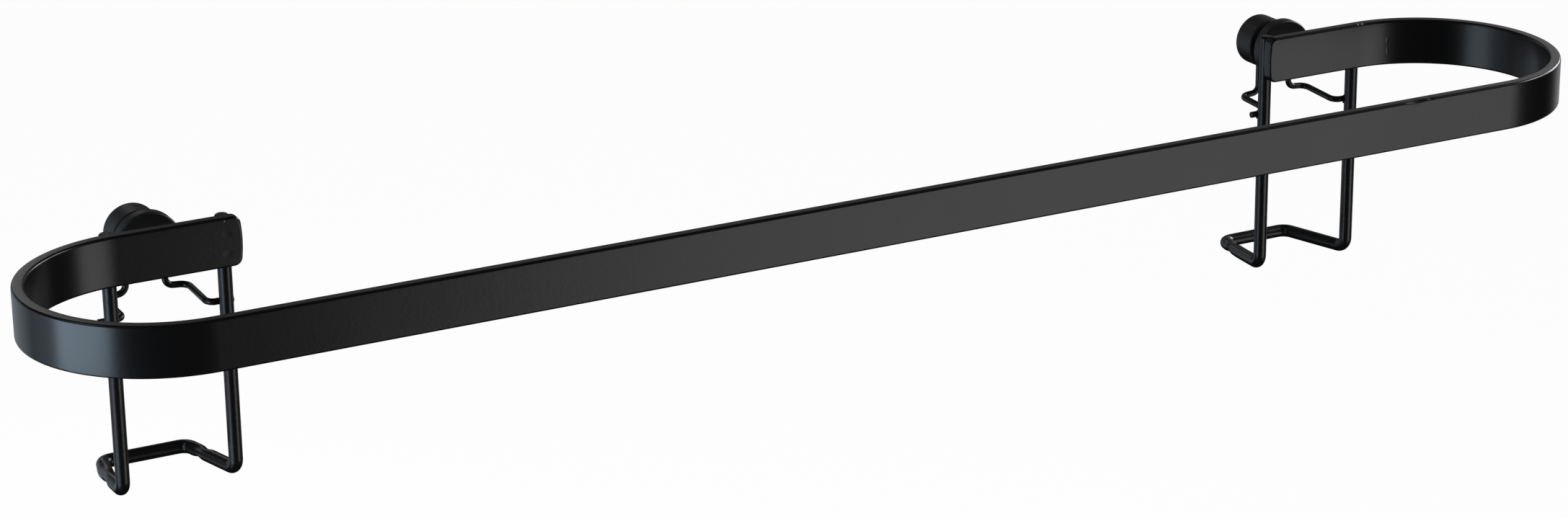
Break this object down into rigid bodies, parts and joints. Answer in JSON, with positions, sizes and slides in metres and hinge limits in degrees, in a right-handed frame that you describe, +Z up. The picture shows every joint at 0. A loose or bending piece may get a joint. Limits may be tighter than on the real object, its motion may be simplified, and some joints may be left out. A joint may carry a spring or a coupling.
{
  "type": "wall-hung towel holder",
  "caption": "Black steel towel rail: a flat bar bent to an open loop, on bent-wire wall brackets whose thin wire loops hook into grooved wall knobs.",
  "frame": {"origin": "on the wall plane, midway between the screw holes of the two wall knobs", "axes": "+X along the rail, +Y into the wall (the rail lies on the -Y side), +Z up"},
  "size_m": [0.611, 0.1375, 0.0988],
  "materials": {
    "rail_powder_coat": "satin black powder coat on flat steel bar",
    "wire_powder_coat": "satin black powder coat on round steel wire",
    "knob_plastic": "matt black moulded plastic"
  },
  "bodies": {
    "root": {"towel_rail": "rail_powder_coat", "left_wall_bracket": "wire_powder_coat", "right_wall_bracket": "wire_powder_coat", "left_hanging_loop": "wire_powder_coat", "right_hanging_loop": "wire_powder_coat", "left_leg_welds": "wire_powder_coat", "right_leg_welds": "wire_powder_coat", "left_wall_knob": "knob_plastic", "right_wall_knob": "knob_plastic"}
  },
  "joints": []
}
